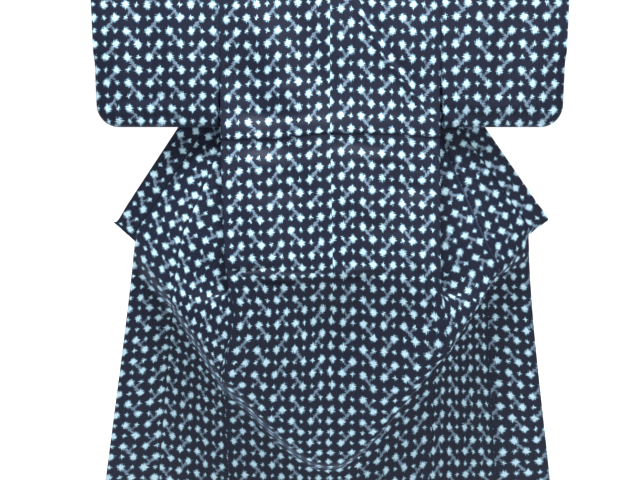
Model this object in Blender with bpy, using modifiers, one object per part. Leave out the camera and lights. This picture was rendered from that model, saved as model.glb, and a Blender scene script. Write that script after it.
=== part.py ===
"""A kimono hung by its sleeves from a rod, its back to the viewer and its fronts drawn out sideways.

Metres, +Z up. The origin is the middle of the rod. The back of the garment faces -Y, the wall side
is +Y, and left is -X, which is also the wearer's left.

Every cloth panel is a wall on a surface that is laid out in the cloth's own measures: across from
seam to seam, and down from the rod. The seams are smooth lines through a few stations. The fronts
are flat sheets folded back on themselves along a slanting crease behind the back panels, so their
collar edges stand out to the sides. Below the collar ends, the slack rolls forward in two slanting
folds that meet in a V at the bottom of the centre seam, and the skirt hangs from them.
"""
import math

import bmesh
import bpy
import numpy as np

ROD_RADIUS = 0.0125
ROD_LENGTH = 1.40

CLOTH = 0.0015
COLLAR_CLOTH = 0.0030
SEAM_GAP = 0.0003
SEAM_PARTING = 0.0005
ROD_GAP = 0.0008

BODY_LENGTH = 1.64
SHOULDER = 0.300
NECK_HALF_WIDTH = 0.085
FRONT_WIDTH = 0.235
FRONT_WIDTH_AT_NECK = 0.215
OVERLAP_START = 0.23
OVERLAP_WIDTH = 0.134
COLLAR_END = 0.85
COLLAR_WIDTH = 0.0635
SEWN_TO_SLEEVE = 0.28
SIDE_SEAM_TOP = 0.40

SLEEVE_WIDTH = 0.342
SLEEVE_DEPTH = 0.43
SLEEVE_OPENING = 0.25
SLEEVE_CORNER = 0.060
SLEEVE_ROUNDING = 0.035

# The cloth passes over the rod with its middle at this radius, and leaves it level with its centre.
CLOTH_RADIUS = ROD_RADIUS + ROD_GAP + CLOTH / 2
OVER_ROD = CLOTH_RADIUS * math.pi / 2

# The neck is cut out of the back's top in a soft corner, from this far inside its edge to this far
# outside it.
NECK_CORNER_IN = 0.022
NECK_CORNER_OUT = 0.012

# The angle from the vertical of the crease that each front is folded along, and the crease's radius.
CREASE_ANGLE = {"left": math.radians(11.25), "right": math.radians(12.0)}
FOLD_RADIUS = 0.006
# At the shoulder the front is flat. The crease starts this far across it, and spreads this much.
CREASE_SHARE = 0.4
CREASE_SPREAD = 0.08

# Lengths of cloth from the rod: where the crease starts and is whole, the raised part's foot, and
# where the cloth below it starts to hang and hangs freely.
FOLD_START = 0.06
WING_TOP = 0.12
WING_FOOT = 0.80
HANGING_START = 0.84
HANGING_END = 0.98
# Where back and front start to close below the armhole, where the front stops lying behind the back,
# and where the two part a little more to turn over the slanting fold side by side.
CLOSING_START = 0.224
BEHIND_END = (0.90, 1.00)
SIDE_PARTING = (0.75, 0.88)
OVERLAP_PARTING = (0.80, 0.89, 1.08, 1.18)
OVERLAP_TOP = 0.24

SIDES = {"left": -1, "right": 1}

# Stations down each seam. Columns: the cloth's length from the rod, the distance out from the middle,
# the depth, towards the wall (+) or the viewer (-), and the drop below the rod.
# They stand at the rod, the sleeve seam's end, the underarm, the hip, the level crease across the
# back, below it, the lip of the slanting fold, its foot and the hem.
CENTRE_SEAM = [
    (0.00, 0.000, -CLOTH_RADIUS, 0.000),
    (0.28, 0.000, -0.016, 0.280),
    (0.45, 0.000, -0.036, 0.448),
    (0.70, 0.000, -0.082, 0.694),
    (0.85, 0.000, -0.106, 0.842),
    (0.93, 0.000, -0.094, 0.920),
    (1.37, 0.000, -0.098, 1.358),
    (1.52, 0.000, 0.018, 1.450),
    (1.64, 0.000, 0.030, 1.568),
]
SIDE_SEAM = {
    "left": [
        (0.00, 0.300, -CLOTH_RADIUS, 0.000),
        (0.28, 0.300, -0.012, 0.280),
        (0.45, 0.297, -0.030, 0.449),
        (0.70, 0.289, -0.082, 0.693),
        (0.85, 0.276, -0.114, 0.838),
        (0.93, 0.258, -0.118, 0.914),
        (1.13, 0.290, -0.118, 1.105),
        (1.31, 0.306, 0.018, 1.218),
        (1.64, 0.298, 0.030, 1.545),
    ],
    "right": [
        (0.00, 0.300, -CLOTH_RADIUS, 0.000),
        (0.28, 0.300, -0.012, 0.280),
        (0.45, 0.300, -0.030, 0.449),
        (0.70, 0.298, -0.082, 0.693),
        (0.85, 0.297, -0.112, 0.838),
        (0.93, 0.302, -0.120, 0.917),
        (1.05, 0.321, -0.124, 1.034),
        (1.20, 0.312, 0.012, 1.078),
        (1.64, 0.300, 0.030, 1.515),
    ],
}
# The overlap's seam and the front edge, from below the collar ends down. Columns: length, out, depth
# and drop, as above.
LOWER_OVERLAP_SEAM = {
    "left": [
        (0.88, 0.423, -0.050, 0.806),
        (0.98, 0.433, -0.072, 0.900),
        (1.10, 0.452, 0.018, 0.972),
        (1.64, 0.515, 0.030, 1.506),
    ],
    "right": [
        (0.86, 0.455, -0.020, 0.776),
        (0.92, 0.478, -0.024, 0.830),
        (1.00, 0.457, 0.024, 0.874),
        (1.64, 0.503, 0.030, 1.510),
    ],
}
LOWER_FRONT_EDGE = {
    "left": [
        (0.87, 0.556, 0.030, 0.747),
        (0.90, 0.561, 0.030, 0.776),
        (0.96, 0.569, 0.030, 0.836),
        (1.64, 0.676, 0.030, 1.506),
    ],
    "right": [
        (0.87, 0.571, 0.030, 0.735),
        (0.90, 0.573, 0.030, 0.765),
        (0.96, 0.577, 0.030, 0.825),
        (1.64, 0.667, 0.030, 1.498),
    ],
}
# Where the raised part of each front stands. Columns: the cloth's length from the rod, and the depth
# of the crease behind the back panel, of the overlap's seam and of the collar's seam.
WING_DEPTH = {
    "left": [
        (0.12, 0.0070, 0.034, 0.034),
        (0.24, 0.0050, 0.032, 0.032),
        (0.45, -0.0120, 0.024, 0.031),
        (0.70, -0.0620, -0.014, 0.030),
        (0.80, -0.0860, -0.034, 0.030),
    ],
    "right": [
        (0.12, 0.0070, 0.034, 0.034),
        (0.24, 0.0050, 0.032, 0.032),
        (0.45, -0.0120, 0.026, 0.031),
        (0.70, -0.0620, 0.000, 0.030),
        (0.80, -0.0860, -0.014, 0.030),
    ],
}
# The collar's run from the centre of the neck to the front. Columns: out, depth and height of its
# seam, and how much it leans out, towards the wall and up from there.
NECK_RUN = [
    (0.000, -0.0150, 0.0035, 0.00, 0.10, 1.00),
    (0.030, -0.0150, 0.0035, 0.00, 0.10, 1.00),
    (0.055, -0.0145, 0.0060, 0.00, 0.10, 1.00),
    (0.072, -0.0115, 0.0120, 0.05, 0.08, 1.00),
    (0.080, -0.0040, 0.0175, 0.12, 0.05, 1.00),
    (0.082, 0.0060, 0.0180, 0.18, 0.05, 1.00),
    (0.083, 0.0170, 0.0100, 0.28, 0.05, 0.95),
    (0.091, 0.0230, -0.0150, 0.50, 0.03, 0.85),
]

# The cloth's length from the rod at each row of points in the upper part, the same on every panel.
# Below it the rows follow the slanting folds: so many steps to the lip, the foot and the hem.
LEVELS = [
    0.00, 0.03, 0.06, 0.08, 0.10, 0.12, 0.18, 0.24, 0.28, 0.34, 0.40, 0.47, 0.54, 0.61, 0.68, 0.74,
    0.80,
]
STEPS_TO_LIP = 4
STEPS_TO_FOOT = 4
STEPS_TO_HEM = 4
STEPS_OVER_ROD = 3
OVERLAP_COLUMNS = 4
# Steps across a front: to the crease, to its middle, round it, and on to the far seam.
FRONT_STEPS = [5, 2, 2, 6]
# The distance from the centre seam of each column of points across the back.
BACK_COLUMNS = [
    0, 0.03, 0.055, 0.065, 0.071, 0.077, 0.083, 0.089, 0.097, 0.13, 0.17, 0.21, 0.255, 0.2998,
]
# Across a sleeve: places from its inner edge to the corner's start, and angles round the corner.
SLEEVE_STEPS = [0, 0.03, 0.07, 0.12, 0.17, 0.22, 0.26]
CORNER_ANGLES = [0, 25, 45, 62, 76, 90]
# Up a sleeve: shares of its depth, and angles over the rod.
SLEEVE_LEVELS = [1, 0.985, 0.95, 0.88, 0.80, 0.72, 0.64, 0.55, 0.44, 0.30, 0.15, 0.04, 0.0]
ROD_ANGLES = [30, 60, 90, 120, 150]
# The outer edge closes between these drops, at the bottom of the wrist opening.
OPENING_CLOSES = (SLEEVE_OPENING - 0.03, SLEEVE_OPENING + 0.01)
# The collar: its shares across, the length of cloth where its level run starts, and the length over
# which its slope is taken.
COLLAR_SHARES = (0, 0.34, 0.67, 1)
COLLAR_RUN_START = 0.06
COLLAR_SLOPE = 0.02

COLOURS = {
    "cloth": (0.030, 0.035, 0.075, 1.0),
    "collar": (0.040, 0.046, 0.095, 1.0),
    "rod": (0.62, 0.46, 0.28, 1.0),
}
CLOTH_ROUGHNESS = 0.75
ROD_ROUGHNESS = 0.45


def smooth_step(low, high, value):
    """0 below low, 1 above high, with an easy curve between."""
    t = min(max((value - low) / (high - low), 0.0), 1.0)
    return t * t * (3 - 2 * t)


def along(stations, v):
    """The point at v on a smooth line through stations of (v, out, depth, drop), with no overshoot."""
    table = np.array(stations)
    knots, values = table[:, 0], table[:, 1:]
    steps = np.diff(knots)[:, None]
    slopes = np.diff(values, axis=0) / steps
    tangents = np.zeros_like(values)
    tangents[0], tangents[-1] = slopes[0], slopes[-1]
    same_way = slopes[:-1] * slopes[1:] > 0
    product = 2 * slopes[:-1] * slopes[1:]
    total = np.where(same_way, slopes[:-1] + slopes[1:], 1.0)
    tangents[1:-1] = np.where(same_way, product / total, 0.0)
    i = int(np.clip(np.searchsorted(knots, v) - 1, 0, len(knots) - 2))
    h = steps[i, 0]
    t = (v - knots[i]) / h
    return (values[i] * (2 * t ** 3 - 3 * t ** 2 + 1) + h * tangents[i] * (t ** 3 - 2 * t ** 2 + t)
            + values[i + 1] * (3 * t ** 2 - 2 * t ** 3) + h * tangents[i + 1] * (t ** 3 - t ** 2))


def row_lengths(stations):
    """The cloth's length from the rod at each row of points down a line."""
    lip, foot, hem = (stations[i][0] for i in (-3, -2, -1))
    lengths = list(LEVELS)
    for end, steps in ((lip, STEPS_TO_LIP), (foot, STEPS_TO_FOOT), (hem, STEPS_TO_HEM)):
        start = lengths[-1]
        lengths += [start + (end - start) * (i + 1) / steps for i in range(steps)]
    return lengths


def between(first, second, share):
    """The stations of a line that lies between two others."""
    return np.array(first) * (1 - share) + np.array(second) * share


def through(points, counts):
    """A rounded line through points, cut into counts[i] steps from point i to the next."""
    points = [np.array(p, float) for p in points]
    ends = [2 * points[0] - points[1]] + points + [2 * points[-1] - points[-2]]
    line = []
    for i, count in enumerate(counts):
        p = ends[i:i + 4]
        knots = [0.0]
        for a, b in zip(p, p[1:]):
            knots.append(knots[-1] + math.sqrt(np.linalg.norm(b - a)))
        for k in range(count):
            t = knots[1] + (knots[2] - knots[1]) * k / count
            level = list(p)
            for width in (1, 2):
                level = [((knots[j + width] - t) * level[j] + (t - knots[j]) * level[j + 1])
                         / (knots[j + width] - knots[j]) for j in range(len(level) - 1)]
            share = (t - knots[1]) / (knots[2] - knots[1])
            line.append(level[0] * (1 - share) + level[1] * share)
    return line + [points[-1]]


def folded_back(side, across, v):
    """Out and drop of a point of a front sheet, across from its side seam, folded over the crease."""
    angle = CREASE_ANGLE[side]
    crease = np.array([math.sin(angle), math.cos(angle)])
    neck = np.array([NECK_HALF_WIDTH, 0.0])
    point = np.array([SHOULDER - across, v]) - neck
    return neck + 2 * point.dot(crease) * crease - point


def overlap_width(v):
    """The overlap's width where its slanting edge carries the collar."""
    return OVERLAP_WIDTH * (v - OVERLAP_START) / (COLLAR_END - OVERLAP_START)


def overlap_seam(side):
    """Stations down the seam between a front and its overlap, which starts as the neck edge."""
    line = [(0.0, NECK_HALF_WIDTH, CLOTH_RADIUS, 0.0)]
    for v, _, depth, _ in WING_DEPTH[side]:
        widening = min(v / OVERLAP_START, 1.0)
        across = FRONT_WIDTH_AT_NECK + (FRONT_WIDTH - FRONT_WIDTH_AT_NECK) * widening
        out, drop = folded_back(side, across, v)
        line.append((v, out, depth, drop))
    return line + LOWER_OVERLAP_SEAM[side]


def front_edge(side):
    """Stations down the overlap's outer edge, from its top by the collar's seam to the hem."""
    line = []
    levels = [row[0] for row in WING_DEPTH[side][1:]] + [COLLAR_END]
    depths = [row[3] for row in WING_DEPTH[side][1:]] + [LOWER_FRONT_EDGE[side][0][2]]
    for v, depth in zip(levels, depths):
        out, drop = folded_back(side, FRONT_WIDTH + overlap_width(v), v)
        line.append((v, out, depth, drop))
    return line + LOWER_FRONT_EDGE[side]


def front_side(side, v):
    """The front's edge at the side: apart from the back at the top, then sewn just behind it."""
    back = along(SIDE_SEAM[side], v)
    apart = -2 * back[1] * (1 - smooth_step(CLOSING_START, SIDE_SEAM_TOP, v))
    behind = (CLOTH + 3 * SEAM_GAP) * smooth_step(SEWN_TO_SLEEVE, SIDE_SEAM_TOP, v)
    behind *= 1 - smooth_step(*BEHIND_END, v)
    parting = SEAM_PARTING * smooth_step(*SIDE_PARTING, v)
    return back + np.array([parting, apart + behind, 0.0])


def front_row(side, v_side, v_seam):
    """The points across a front: in behind the back, round the crease, and out to its far seam.

    v_side and v_seam are the cloth's lengths from the rod at its side and at the far seam.
    """
    back = along(SIDE_SEAM[side], v_side)
    start = front_side(side, v_side)
    end = along(overlap_seam(side), v_seam)
    v = (v_side + v_seam) / 2
    depth = along(WING_DEPTH[side], min(max(v, WING_TOP), WING_FOOT))[0]
    folded = smooth_step(FOLD_START, WING_TOP, v)
    crease = np.array([NECK_HALF_WIDTH + v * math.tan(CREASE_ANGLE[side]), depth, v])
    flat = start + CREASE_SHARE * (end - start)
    crease = flat + folded * (crease - flat)
    bend = FOLD_RADIUS * folded
    spread = CREASE_SPREAD * (1 - folded) * (end - start)
    inner = crease - spread
    middle = crease + np.array([-bend, bend, 0.0])
    outer = crease + np.array([0.0, 2 * bend, 0.0]) + spread
    row = through([start, inner, middle, outer, end], FRONT_STEPS)
    for i in range(len(row)):
        share = i / (len(row) - 1)
        level = v_side + (v_seam - v_side) * share
        hanging = smooth_step(HANGING_START, HANGING_END, level)
        if hanging > 0:
            line = between(SIDE_SEAM[side], hanging_stations(side), share)
            free = along(line, level) + (start - back) * (1 - share)
            row[i] = row[i] + hanging * (free - row[i])
    return row


def hanging_stations(side):
    """The overlap's seam with as many stations as the side seam has, for the cloth between them."""
    seam = overlap_seam(side)
    return [seam[0]] + seam[2:]


def over_rod(point, v):
    """A point at the rod's level, carried back up over the rod by the length -v."""
    angle = -v / CLOTH_RADIUS
    return np.array([point[0], point[1] * math.cos(angle), -CLOTH_RADIUS * math.sin(angle)])


def place(side, point):
    """World place of (out, depth, drop)."""
    return (SIDES[side] * point[0], point[1], -point[2])


def principled(name, colour, roughness):
    material = bpy.data.materials.new(name)
    material.use_nodes = True
    shader = material.node_tree.nodes["Principled BSDF"]
    shader.inputs["Base Color"].default_value = colour
    shader.inputs["Roughness"].default_value = roughness
    shader.inputs["Metallic"].default_value = 0.0
    return material


def cloth_wall(name, rows, thickness, colour, collection, weld=False):
    """A wall on the surface through rows of points, each as long as the others."""
    columns = len(rows[0])
    mesh = bmesh.new()
    bmesh.ops.create_grid(mesh, x_segments=columns - 1, y_segments=len(rows) - 1, size=1)
    for vertex in mesh.verts:
        i = round((vertex.co.x + 1) / 2 * (columns - 1))
        j = round((vertex.co.y + 1) / 2 * (len(rows) - 1))
        vertex.co = rows[j][i]
    if weld:
        bmesh.ops.remove_doubles(mesh, verts=mesh.verts, dist=0.00001)
    bmesh.ops.recalc_face_normals(mesh, faces=mesh.faces)
    data = bpy.data.meshes.new(name)
    mesh.to_mesh(data)
    mesh.free()
    panel = bpy.data.objects.new(name, data)
    collection.objects.link(panel)
    wall = panel.modifiers.new("wall", "SOLIDIFY")
    wall.thickness = thickness
    wall.offset = 0.0
    data.materials.append(principled(name + "_cloth", colour, CLOTH_ROUGHNESS))
    data.shade_smooth()
    return panel


def back_lengths(line, neck):
    """The cloth's length from the rod at each row down the back, where neck is 0 in the neck cut."""
    top = []
    for i in range(STEPS_OVER_ROD + 1):
        over = (OVER_ROD - SEAM_GAP) * (i / STEPS_OVER_ROD - 1) * neck
        below = LEVELS[1] * i / (STEPS_OVER_ROD + 1) * (1 - neck)
        top.append(over + below)
    return top + row_lengths(line)[1:]


def build_back(side, collection):
    """Half of the back, from the centre seam to the side seam, with the neck cut out of its top."""
    columns = []
    for out in BACK_COLUMNS:
        share = out / BACK_COLUMNS[-1]
        line = between(CENTRE_SEAM, SIDE_SEAM[side], share ** 2 * (2 - share))
        line[:, 1] = share * np.array(SIDE_SEAM[side])[:, 1]
        neck = smooth_step(NECK_HALF_WIDTH - NECK_CORNER_IN, NECK_HALF_WIDTH + NECK_CORNER_OUT, out)
        column = []
        for v in back_lengths(line, neck):
            point = along(line, max(v, 0.0))
            if v < 0:
                point = over_rod(point, v)
            point[0] += SEAM_PARTING / 2 * (1 - 2 * share)
            column.append(place(side, point))
        columns.append(column)
    rows = [list(row) for row in zip(*columns)]
    return cloth_wall("back_" + side, rows, CLOTH, COLOURS["cloth"], collection)


def build_front(side, collection):
    """A front, from the side seam to the overlap's seam, folded back along its crease."""
    rows = []
    for i in range(-STEPS_OVER_ROD, 0):
        v = (OVER_ROD - SEAM_GAP) * i / STEPS_OVER_ROD
        rows.append([place(side, over_rod(p, v)) for p in front_row(side, 0.0, 0.0)])
    for v_side, v_seam in zip(row_lengths(SIDE_SEAM[side]), row_lengths(overlap_seam(side))):
        rows.append([place(side, p) for p in front_row(side, v_side, v_seam)])
    return cloth_wall("front_" + side, rows, CLOTH, COLOURS["cloth"], collection)


def build_overlap(side, collection):
    """The overlap sewn to a front's edge, a long wedge at the top and straight below."""
    seam = overlap_seam(side)
    edge = front_edge(side)
    top = LEVELS.index(OVERLAP_TOP)
    rows = []
    for v_seam, v_edge in list(zip(row_lengths(seam), row_lengths(edge)))[top:]:
        first = along(seam, v_seam)
        last = along(edge, v_edge)
        turning = smooth_step(*OVERLAP_PARTING[:2], v_seam) * (1 - smooth_step(*OVERLAP_PARTING[2:], v_seam))
        parting = SEAM_PARTING * (1 + 2 * turning)
        first = first + parting * (last - first) / np.linalg.norm(last - first)
        rows.append([place(side, first + (last - first) * i / OVERLAP_COLUMNS)
                     for i in range(OVERLAP_COLUMNS + 1)])
    return cloth_wall("overlap_" + side, rows, CLOTH, COLOURS["cloth"], collection)


def rounded_out(distance):
    """How far a sleeve's two layers have parted at a distance from a closed edge, from 0 to 1."""
    share = min(max(distance / SLEEVE_ROUNDING, 0.0), 1.0)
    return math.sqrt(1 - (1 - share) ** 2)


def build_sleeve(side, collection):
    """A sleeve: one length over the rod, closed below and, under its opening, at the outer edge."""
    inner = SHOULDER + SEAM_GAP
    outer = SHOULDER + SLEEVE_WIDTH
    straight = outer - SLEEVE_CORNER - inner
    arc = [straight + SLEEVE_CORNER * math.sin(math.radians(angle)) for angle in CORNER_ANGLES]
    rows = []
    for step in SLEEVE_STEPS + arc:
        past = max(step - straight, 0.0)
        depth = SLEEVE_DEPTH - SLEEVE_CORNER + math.sqrt(max(SLEEVE_CORNER ** 2 - past ** 2, 0.0))
        edge = outer - inner - step
        face = []
        for share in SLEEVE_LEVELS:
            drop = share * depth
            closed = smooth_step(*OPENING_CLOSES, drop)
            pinch = rounded_out(depth - drop) * (1 - closed * (1 - rounded_out(edge)))
            side_depth = along(SIDE_SEAM["left"], min(drop, SEWN_TO_SLEEVE))[1]
            face.append((-side_depth * pinch, -drop))
        over = [(CLOTH_RADIUS * math.cos(math.radians(angle)), CLOTH_RADIUS * math.sin(math.radians(angle)))
                for angle in ROD_ANGLES]
        other_face = [(-depth, height) for depth, height in face[::-1]]
        x = SIDES[side] * (inner + step)
        rows.append([(x, depth, height) for depth, height in face + over + other_face])
    name = "sleeve_" + side
    return cloth_wall(name, rows, CLOTH, COLOURS["cloth"], collection, weld=True)


def collar_half(side):
    """Seam points and outer edge points of the collar, from the centre of the neck to one end."""
    run = []
    for out, depth, height, lean_out, lean_in, lean_up in NECK_RUN:
        lean = np.array([lean_out, lean_in, -lean_up])
        run.append((np.array([out, depth, -height]), lean / np.linalg.norm(lean)))
    seam = overlap_seam(side)
    edge = front_edge(side)
    for v in row_lengths(edge)[LEVELS.index(COLLAR_RUN_START):]:
        if v > COLLAR_END + SEAM_PARTING:
            break
        line = seam if v < OVERLAP_TOP else edge
        low, high = along(line, v - COLLAR_SLOPE), along(line, v)
        lean = np.array([high[2] - low[2], 0.0, low[0] - high[0]])
        lean = lean / np.linalg.norm(lean)
        behind = 2 * CLOTH * (1 - smooth_step(WING_TOP, OVERLAP_TOP, v))
        run.append((along(line, v) + SEAM_PARTING * lean + np.array([0.0, behind, 0.0]), lean))
    return [[place(side, point + lean * COLLAR_WIDTH * share) for share in COLLAR_SHARES]
            for point, lean in run]


def build_collar(collection):
    """The collar: one long band from end to end, round the back of the neck."""
    rows = collar_half("left")[::-1] + collar_half("right")[1:]
    return cloth_wall("collar", rows, COLLAR_CLOTH, COLOURS["collar"], collection)


def build_rod(collection):
    """The rod that passes through both sleeves."""
    bpy.ops.mesh.primitive_cylinder_add(
        vertices=32, radius=ROD_RADIUS, depth=ROD_LENGTH, rotation=(0, math.pi / 2, 0))
    rod = bpy.context.object
    bpy.ops.object.transform_apply(location=False, rotation=True, scale=False)
    rod.name = rod.data.name = "hanging_rod"
    for owner in list(rod.users_collection):
        owner.objects.unlink(rod)
    collection.objects.link(rod)
    rod.data.materials.append(principled("rod_wood", COLOURS["rod"], ROD_ROUGHNESS))
    rod.data.shade_smooth()
    rod.data.set_sharp_from_angle(angle=math.radians(30))
    return rod


def main():
    for item in list(bpy.data.objects):
        bpy.data.objects.remove(item, do_unlink=True)
    collection = bpy.data.collections.new("kimono")
    bpy.context.scene.collection.children.link(collection)
    build_rod(collection)
    for side in SIDES:
        build_back(side, collection)
        build_front(side, collection)
        build_overlap(side, collection)
        build_sleeve(side, collection)
    build_collar(collection)


main()
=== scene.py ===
"""A kimono of indigo kasuri hung from a rod, seen from its back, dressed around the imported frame."""
import math

import bpy
import numpy as np
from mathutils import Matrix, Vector


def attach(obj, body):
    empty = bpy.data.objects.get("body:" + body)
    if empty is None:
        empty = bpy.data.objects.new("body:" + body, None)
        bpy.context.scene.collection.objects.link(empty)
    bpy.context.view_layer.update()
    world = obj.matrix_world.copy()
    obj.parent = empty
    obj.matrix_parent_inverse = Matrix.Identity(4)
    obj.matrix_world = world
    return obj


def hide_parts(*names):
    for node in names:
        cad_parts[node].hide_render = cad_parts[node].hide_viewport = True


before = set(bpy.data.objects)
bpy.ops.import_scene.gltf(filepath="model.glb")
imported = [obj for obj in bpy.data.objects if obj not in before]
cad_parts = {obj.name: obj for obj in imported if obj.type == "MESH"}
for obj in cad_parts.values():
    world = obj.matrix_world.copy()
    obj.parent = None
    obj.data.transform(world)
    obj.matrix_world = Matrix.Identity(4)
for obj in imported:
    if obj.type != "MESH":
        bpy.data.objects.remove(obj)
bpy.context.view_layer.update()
bpy.ops.object.select_all(action="DESELECT")


# The view: the camera stands a little left of the middle and above the hip, and looks slightly down.
# The picture is 640 pixels wide, and 700 pixels of it span as much as the distance to what it shows.
PICTURE_WIDTH = 640
PICTURE_DISTANCE = 700
SENSOR_WIDTH = 36.0
CAMERA_PLACE = (-0.027, -1.96, -0.48)
CAMERA_DOWN = math.radians(7.7)

bpy.ops.object.camera_add(location=CAMERA_PLACE, rotation=(math.pi / 2 - CAMERA_DOWN, 0, 0))
camera = bpy.context.object
camera.data.sensor_width = SENSOR_WIDTH
camera.data.lens = SENSOR_WIDTH * PICTURE_DISTANCE / PICTURE_WIDTH
bpy.context.scene.camera = camera


# The hanging rod: a round wooden rod, planed, sanded and thinly lacquered.
# The frame's own solid is kept, and gets pale straight-grained wood along its length.
ROD_COLOURS = ("d9c39a", "b8966a")
# The grain's lines are 2.5 mm apart, and change 1.5 times in a metre of the rod.
ROD_GRAIN = 0.0025
ROD_GRAIN_ALONG = 1.5
GRAIN_NOISE = {"Scale": 1.0, "Detail": 4.0, "Distortion": 0.4}
GRAIN_RELIEF = {"Strength": 0.2, "Distance": 0.0002}
ROD_ROUGHNESS = 0.42
ROD_LACQUER = 0.15


def from_hex(code):
    """An sRGB hex colour as linear RGBA."""
    channels = [int(code[i:i + 2], 16) / 255 for i in (0, 2, 4)]
    return [c / 12.92 if c <= 0.04045 else ((c + 0.055) / 1.055) ** 2.4 for c in channels] + [1.0]


def add_node(tree, kind, settings=(), inputs=()):
    """Add a shader node with its settings and inputs, each a value, a socket or a node's first output."""
    node = tree.nodes.new("ShaderNode" + kind)
    for name, value in dict(settings).items():
        setattr(node, name, value)
    for name, value in dict(inputs).items():
        if isinstance(value, bpy.types.Node):
            value = next(output for output in value.outputs if output.enabled)
        if isinstance(value, bpy.types.NodeSocket):
            tree.links.new(value, node.inputs[name])
        else:
            node.inputs[name].default_value = value
    return node


# Planed softwood: fine darker lines along the rod, under a thin coat of lacquer.
rod_wood = bpy.data.materials.new("lacquered_rod_wood")
rod_wood.use_nodes = True
tree = rod_wood.node_tree
shader = tree.nodes["Principled BSDF"]
shader.inputs["Roughness"].default_value = ROD_ROUGHNESS
shader.inputs["Coat Weight"].default_value = ROD_LACQUER
place = add_node(tree, "TexCoord").outputs["Object"]
grain_place = add_node(tree, "Mapping", (), {
    "Vector": place, "Scale": (ROD_GRAIN_ALONG, 1 / ROD_GRAIN, 1 / ROD_GRAIN)})
grain = add_node(tree, "TexNoise", (), {"Vector": grain_place, **GRAIN_NOISE})
tone = add_node(tree, "Mix", {"data_type": "RGBA"}, {
    "Factor": grain, "A": from_hex(ROD_COLOURS[0]), "B": from_hex(ROD_COLOURS[1])})
tree.links.new(tone.outputs["Result"], shader.inputs["Base Color"])
grain_relief = add_node(tree, "Bump", (), {"Height": grain, **GRAIN_RELIEF})
tree.links.new(grain_relief.outputs["Normal"], shader.inputs["Normal"])

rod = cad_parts["hanging_rod"]
rod.data.materials.clear()
rod.data.materials.append(rod_wood)


# The cloth: kasuri, a plain weave whose threads are dyed in patches before they are woven, so each
# figure has ragged edges. White blossoms and small crosses alternate on navy, and pale bars with a
# short branch join the blossoms two by two. It is woven about 37 cm wide.
NAVY = ("0a0e1c", "1d2540")
WHITE = "cfeefa"
EDGE_BLUE = "6f9cb6"
BAR_BLUE = "839eb5"
# The repeat is four columns by two rows of figures, and its halves are each other's mirror image.
COLUMN_PITCH = 0.0295
ROW_PITCH = 0.0355
COLUMNS_IN_REPEAT = 4
ROWS_IN_REPEAT = 2
MIRROR_COLUMN = 1.5
# Each figure's half width, its half height, and how round (over 1) or starry (under 1) it is.
BLOSSOM = (0.0106, 0.0122, 1.22)
SMALL_CROSS = (0.0064, 0.0076, 0.85)
# Shares of a figure's reach between which it fades out, and between which its white middle does.
FIGURE_EDGE = (0.85, 1.35)
FIGURE_MIDDLE = (0.55, 1.0)
# The bars and their branches: which way each slants (1 or -1), its middle and its two ends as shares of
# the way between two blossoms, its width, the shares of its width that it fades between, its strength.
STROKES = [
    (1, 0.0, 0.48, 0.54, 0.0068, 0.3, 0.75, 1.0),
    (-1, 0.25, 0.22, 0.28, 0.0047, 0.3, 0.8, 0.7),
]
# Real threads are about 0.4 mm apart. They are drawn 3 mm apart, as coarse as the picture shows, and
# each keeps its shift for about 30 mm of its run.
THREAD = 0.0030
THREAD_RUN = 0.030
THREAD_SHIFT = 0.0064
# The dye's patches. Then, for the bars and for the blossoms, the values of the dye's noise at which they
# are bluest and whitest, and how much of their white they keep where they are bluest.
DYE_PATCH = 0.0045
BAR_DYE = (0.30, 0.65, 0.55)
BLOSSOM_DYE = (0.30, 0.50, 0.60)
CLOTH_ROUGHNESS = 0.55
WEAVE_RELIEF = {"Strength": 0.3, "Distance": 0.0006}
SPECULAR_LEVEL = 0.24
SHEEN = 0.28
SHEEN_BLUE = "9fb2e0"
SHEEN_ROUGHNESS = 0.4

kasuri = bpy.data.materials.new("navy_kasuri_cloth")
kasuri.use_nodes = True
tree = kasuri.node_tree
shader = tree.nodes["Principled BSDF"]
cloth_place = add_node(tree, "UVMap", {"uv_map": "UVMap"})

# Each warp thread lies a little up or down of its place, and each weft thread a little to one side.
shifts = []
for across, down in ((THREAD, THREAD_RUN), (THREAD_RUN, THREAD)):
    threads = add_node(tree, "Mapping", (), {
        "Vector": cloth_place, "Scale": (1 / across, 1 / down, 1)})
    shifts.append(add_node(tree, "TexNoise", {"noise_dimensions": "2D"}, {
        "Vector": threads, "Scale": 1.0, "Detail": 1.0}))
warp_shift, weft_shift = shifts
thread_shift = add_node(tree, "CombineXYZ", (), {"X": weft_shift, "Y": warp_shift})
either_way = add_node(tree, "VectorMath", {"operation": "SUBTRACT"}, {0: thread_shift, 1: (0.5, 0.5, 0)})
dyed_place = add_node(tree, "VectorMath", {"operation": "MULTIPLY_ADD"}, {
    0: either_way, 1: (2 * THREAD_SHIFT, 2 * THREAD_SHIFT, 0), 2: cloth_place})
cells = add_node(tree, "VectorMath", {"operation": "MULTIPLY"}, {
    0: dyed_place, 1: (1 / COLUMN_PITCH, 1 / ROW_PITCH, 0)})

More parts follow.
